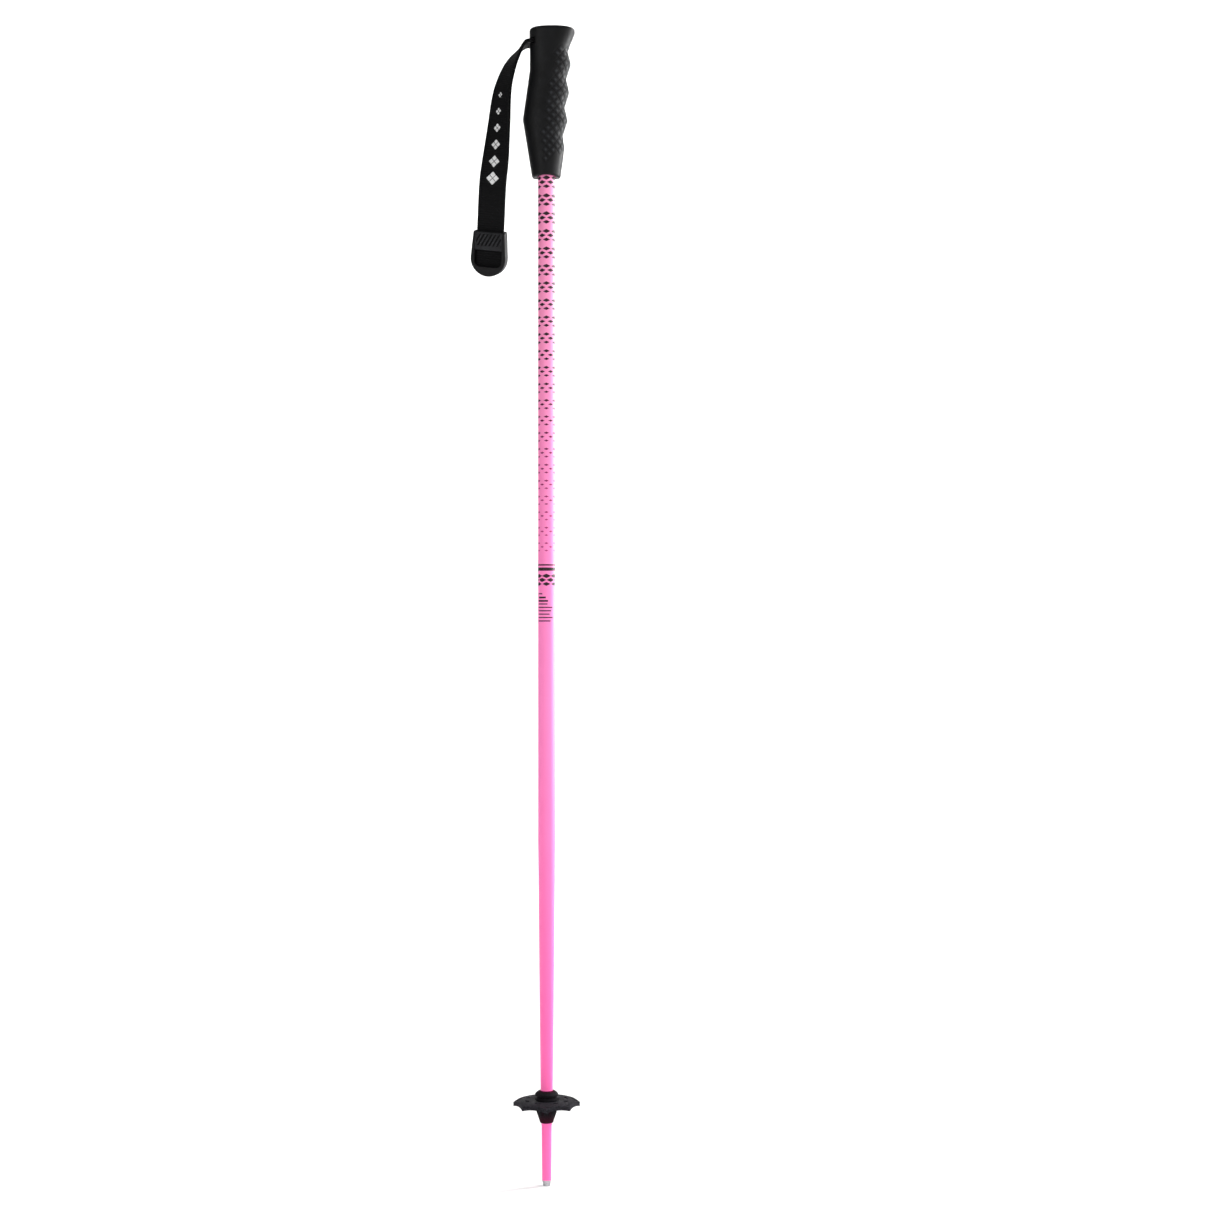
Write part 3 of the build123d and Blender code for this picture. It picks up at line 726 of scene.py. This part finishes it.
def webbing():
    middles, across, out, length, outer_rows = strap_frames()
    # one cross section, round at the two selvedges
    half_width, half_thick = WEBBING_WIDTH / mm / 2, WEBBING_THICKNESS / mm / 2
    flat = np.linspace(-1, 1, 25)
    edge = np.radians(np.arange(60, -61, -30))
    side_x = half_width - half_thick + half_thick * np.cos(edge)
    side_y = half_thick * np.sin(edge)
    face_x = flat * (half_width - half_thick)
    section_x = np.concatenate([face_x, side_x, -face_x, -side_x])
    section_y = np.concatenate([0 * flat + half_thick, side_y, 0 * flat - half_thick, -side_y])
    # cross ribs: each one stands a little proud of both faces and of the selvedges
    rib = np.abs(np.sin(math.pi * length * mm / RIB_PITCH)) ** 0.7
    swell = 1 - RIB_DEPTH * (1 - rib[:, None])
    selvedge = (np.abs(section_x) > half_width - SELVEDGE)[None, :]
    wave = 1 - SELVEDGE_WAVE * (1 - rib[:, None]) * selvedge
    xs = section_x[None, :] * wave
    ys = section_y[None, :] * np.where(selvedge, swell * SELVEDGE_SWELL, swell)
    points = middles[:, None] + across[:, None] * xs[..., None] + out[:, None] * ys[..., None]
    points = points * mm + np.array(joints["strap_swing"]["pos_m"])
    rows, columns = len(middles), len(section_x)
    faces = grid_faces(rows, columns, closed_rows=True)
    piece = make_piece("strap_webbing", points.reshape(-1, 3), faces[:, ::-1], webbing_material())
    # the map: u across and v along, with the inner faces set apart so that no mark lies on them
    mesh = piece.data
    corner = np.zeros(len(mesh.loops), int)
    mesh.loops.foreach_get("vertex_index", corner)
    row_of, column_of = corner // columns, corner % columns
    face_of = np.repeat(np.arange(len(faces)), 4)
    face_row, face_column = face_of // columns, face_of % columns
    v = length[row_of] * mm
    wrapped = (row_of == 0) & (face_row == rows - 1)
    v = np.where(wrapped, (length[-1] + ROW_STEP) * mm, v)
    inner_face = (face_column >= len(face_x)) | (face_row >= outer_rows)
    u = section_x[column_of] * mm
    v = np.where(inner_face, v + UNPRINTED, v)
    layer = mesh.uv_layers.new(name="cloth")
    layer.data.foreach_set("uv", np.stack([u, v], -1).astype(np.float32).ravel())
    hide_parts("strap_root", "strap_front", "strap_back")
    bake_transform(piece)
    return piece


# ---------------------------------------------------------------- stage, light and camera
def stage_set():
    """A pale floor that curves up into a backdrop."""
    back, bend, rise, half = 2.2, 1.2, 4.0, 5.0
    profile = [(-4.0, 0.0)]
    steps = 16
    for i in range(steps + 1):
        turn = math.pi / 2 * i / steps
        profile.append((back + bend * math.sin(turn), bend - bend * math.cos(turn)))
    profile.append((back + bend, rise))
    points = [(side * half, y, z) for y, z in profile for side in (-1, 1)]
    faces = [(2 * i, 2 * i + 1, 2 * i + 3, 2 * i + 2) for i in range(len(profile) - 1)]
    g = Graph("stage_paper")
    tone = g.mix(g.noise(0.4, 2), (0.88, 0.88, 0.88), (0.90, 0.90, 0.90))
    paper = g.finish(Base_Color=tone, Roughness=0.9, Specular_IOR_Level=0.1)
    floor = make_piece("stage_floor", np.array(points), faces, paper)


def soft_light(name, place, aim, width, height, power, spread=180):
    data = bpy.data.lights.new(name, "AREA")
    data.shape = "RECTANGLE"
    data.size, data.size_y = width, height
    data.energy = power
    data.spread = math.radians(spread)
    lamp = bpy.data.objects.new(name, data)
    lamp.location = place
    lamp.rotation_euler = (Vector(aim) - Vector(place)).to_track_quat("-Z", "Y").to_euler()
    bpy.context.scene.collection.objects.link(lamp)


WORLD_STRENGTH = 0.24


def studio():
    world = bpy.data.worlds.new("studio")
    bpy.context.scene.world = world
    world.use_nodes = True
    background = world.node_tree.nodes["Background"]
    background.inputs["Color"].default_value = (1, 1, 1, 1)
    background.inputs["Strength"].default_value = WORLD_STRENGTH
    soft_light("key", (1.9, -0.7, 1.35), (0, 0, 0.85), 1.0, 1.5, 36)
    soft_light("edge", (1.5, 0.75, 1.15), (0, 0, 0.95), 0.5, 1.6, 24, spread=110)
    soft_light("front", (-1.5, -2.6, 1.3), (0, 0, 0.55), 0.9, 2.0, 23)
    soft_light("backdrop", (-0.2, 0.9, 3.1), (-0.2, 3.0, 0.6), 5.0, 1.2, 90, spread=100)
    soft_light("floor", (-1.6, 0.1, 1.6), (-1.3, 0.1, 0.0), 1.4, 1.4, 13, spread=85)
    soft_light("low", (0.9, -2.4, 0.5), (0, 0, 0.3), 1.2, 0.8, 9)


VIEW_WIDTH = 1.257  # metres across the view at the pole
CAMERA_DISTANCE = 2.3
CAMERA_ASIDE = 62.5 * mm
CAMERA_DROP = 1 * mm  # below the middle of the pole


def camera_set():
    low, high = cad_box
    middle = (low[2] + high[2]) / 2
    data = bpy.data.cameras.new("camera")
    data.lens = data.sensor_width * CAMERA_DISTANCE / VIEW_WIDTH
    camera = bpy.data.objects.new("camera", data)
    camera.location = (CAMERA_ASIDE, -CAMERA_DISTANCE, middle - CAMERA_DROP)
    camera.rotation_euler = (math.pi / 2, 0, 0)
    bpy.context.scene.collection.objects.link(camera)
    bpy.context.scene.camera = camera
    bpy.context.scene.view_settings.view_transform = "Standard"


# ---------------------------------------------------------------- the object
LEVER_FACE = 2.5  # millimetres from the lever's hinge out to its ribbed face


def dress(node, material):
    nodes[node].data.materials.clear()
    nodes[node].data.materials.append(material)


camera_set()
studio()
stage_set()
webbing()
grip_cover()

dress("shaft", lacquer("shaft_lacquer", printed=True))
dress("ferrule", lacquer("ferrule_lacquer", printed=False))
dress("tip", steel("tip_steel", (0.46, 0.46, 0.48), 0.24))
for node, dark, light in (
    ("basket_hub", (0.003, 0.0028, 0.0033), (0.012, 0.011, 0.0135)),
    ("basket_disc", (0.004, 0.0038, 0.0045), (0.028, 0.0265, 0.0325)),
):
    basket = moulded(
        node + "_tpu",
        dark,
        light,
        0.5 * mm,
        0.14 * mm,
        rough=(0.6, 0.75),
        shine=0.05,
        patch=1.5 * mm,
        painted_shaft_glow=(0.035, 0.002, 0.010),
    )
    dress(node, basket)
buckle = moulded("buckle_nylon", (0.005, 0.005, 0.0055), (0.008, 0.008, 0.0085), 0.35 * mm, 0.03 * mm)
dress("buckle_frame", buckle)
# the lever's grooves get painted shade below its ribbed face
hinge = joints["lever_lift"]
outward = np.cross(joints["buckle_slide"]["axis"], hinge["axis"])
face = np.array(hinge["pos_m"]) + outward * LEVER_FACE * mm
lever = moulded(
    "lever_nylon",
    (0.012, 0.0122, 0.0135),
    (0.019, 0.0195, 0.0215),
    0.35 * mm,
    0.03 * mm,
    painted_groove_shade=(face, outward),
)
dress("buckle_lever", lever)
pin = steel("pin_steel", (0.55, 0.55, 0.56), 0.32)
dress("buckle_pin", pin)
dress("strap_pin", pin)
hidden = moulded("core_nylon", (0.05, 0.05, 0.055), (0.08, 0.08, 0.085), 0.4 * mm, 0.03 * mm)
dress("grip_core", hidden)
dress("shaft_plug", hidden)
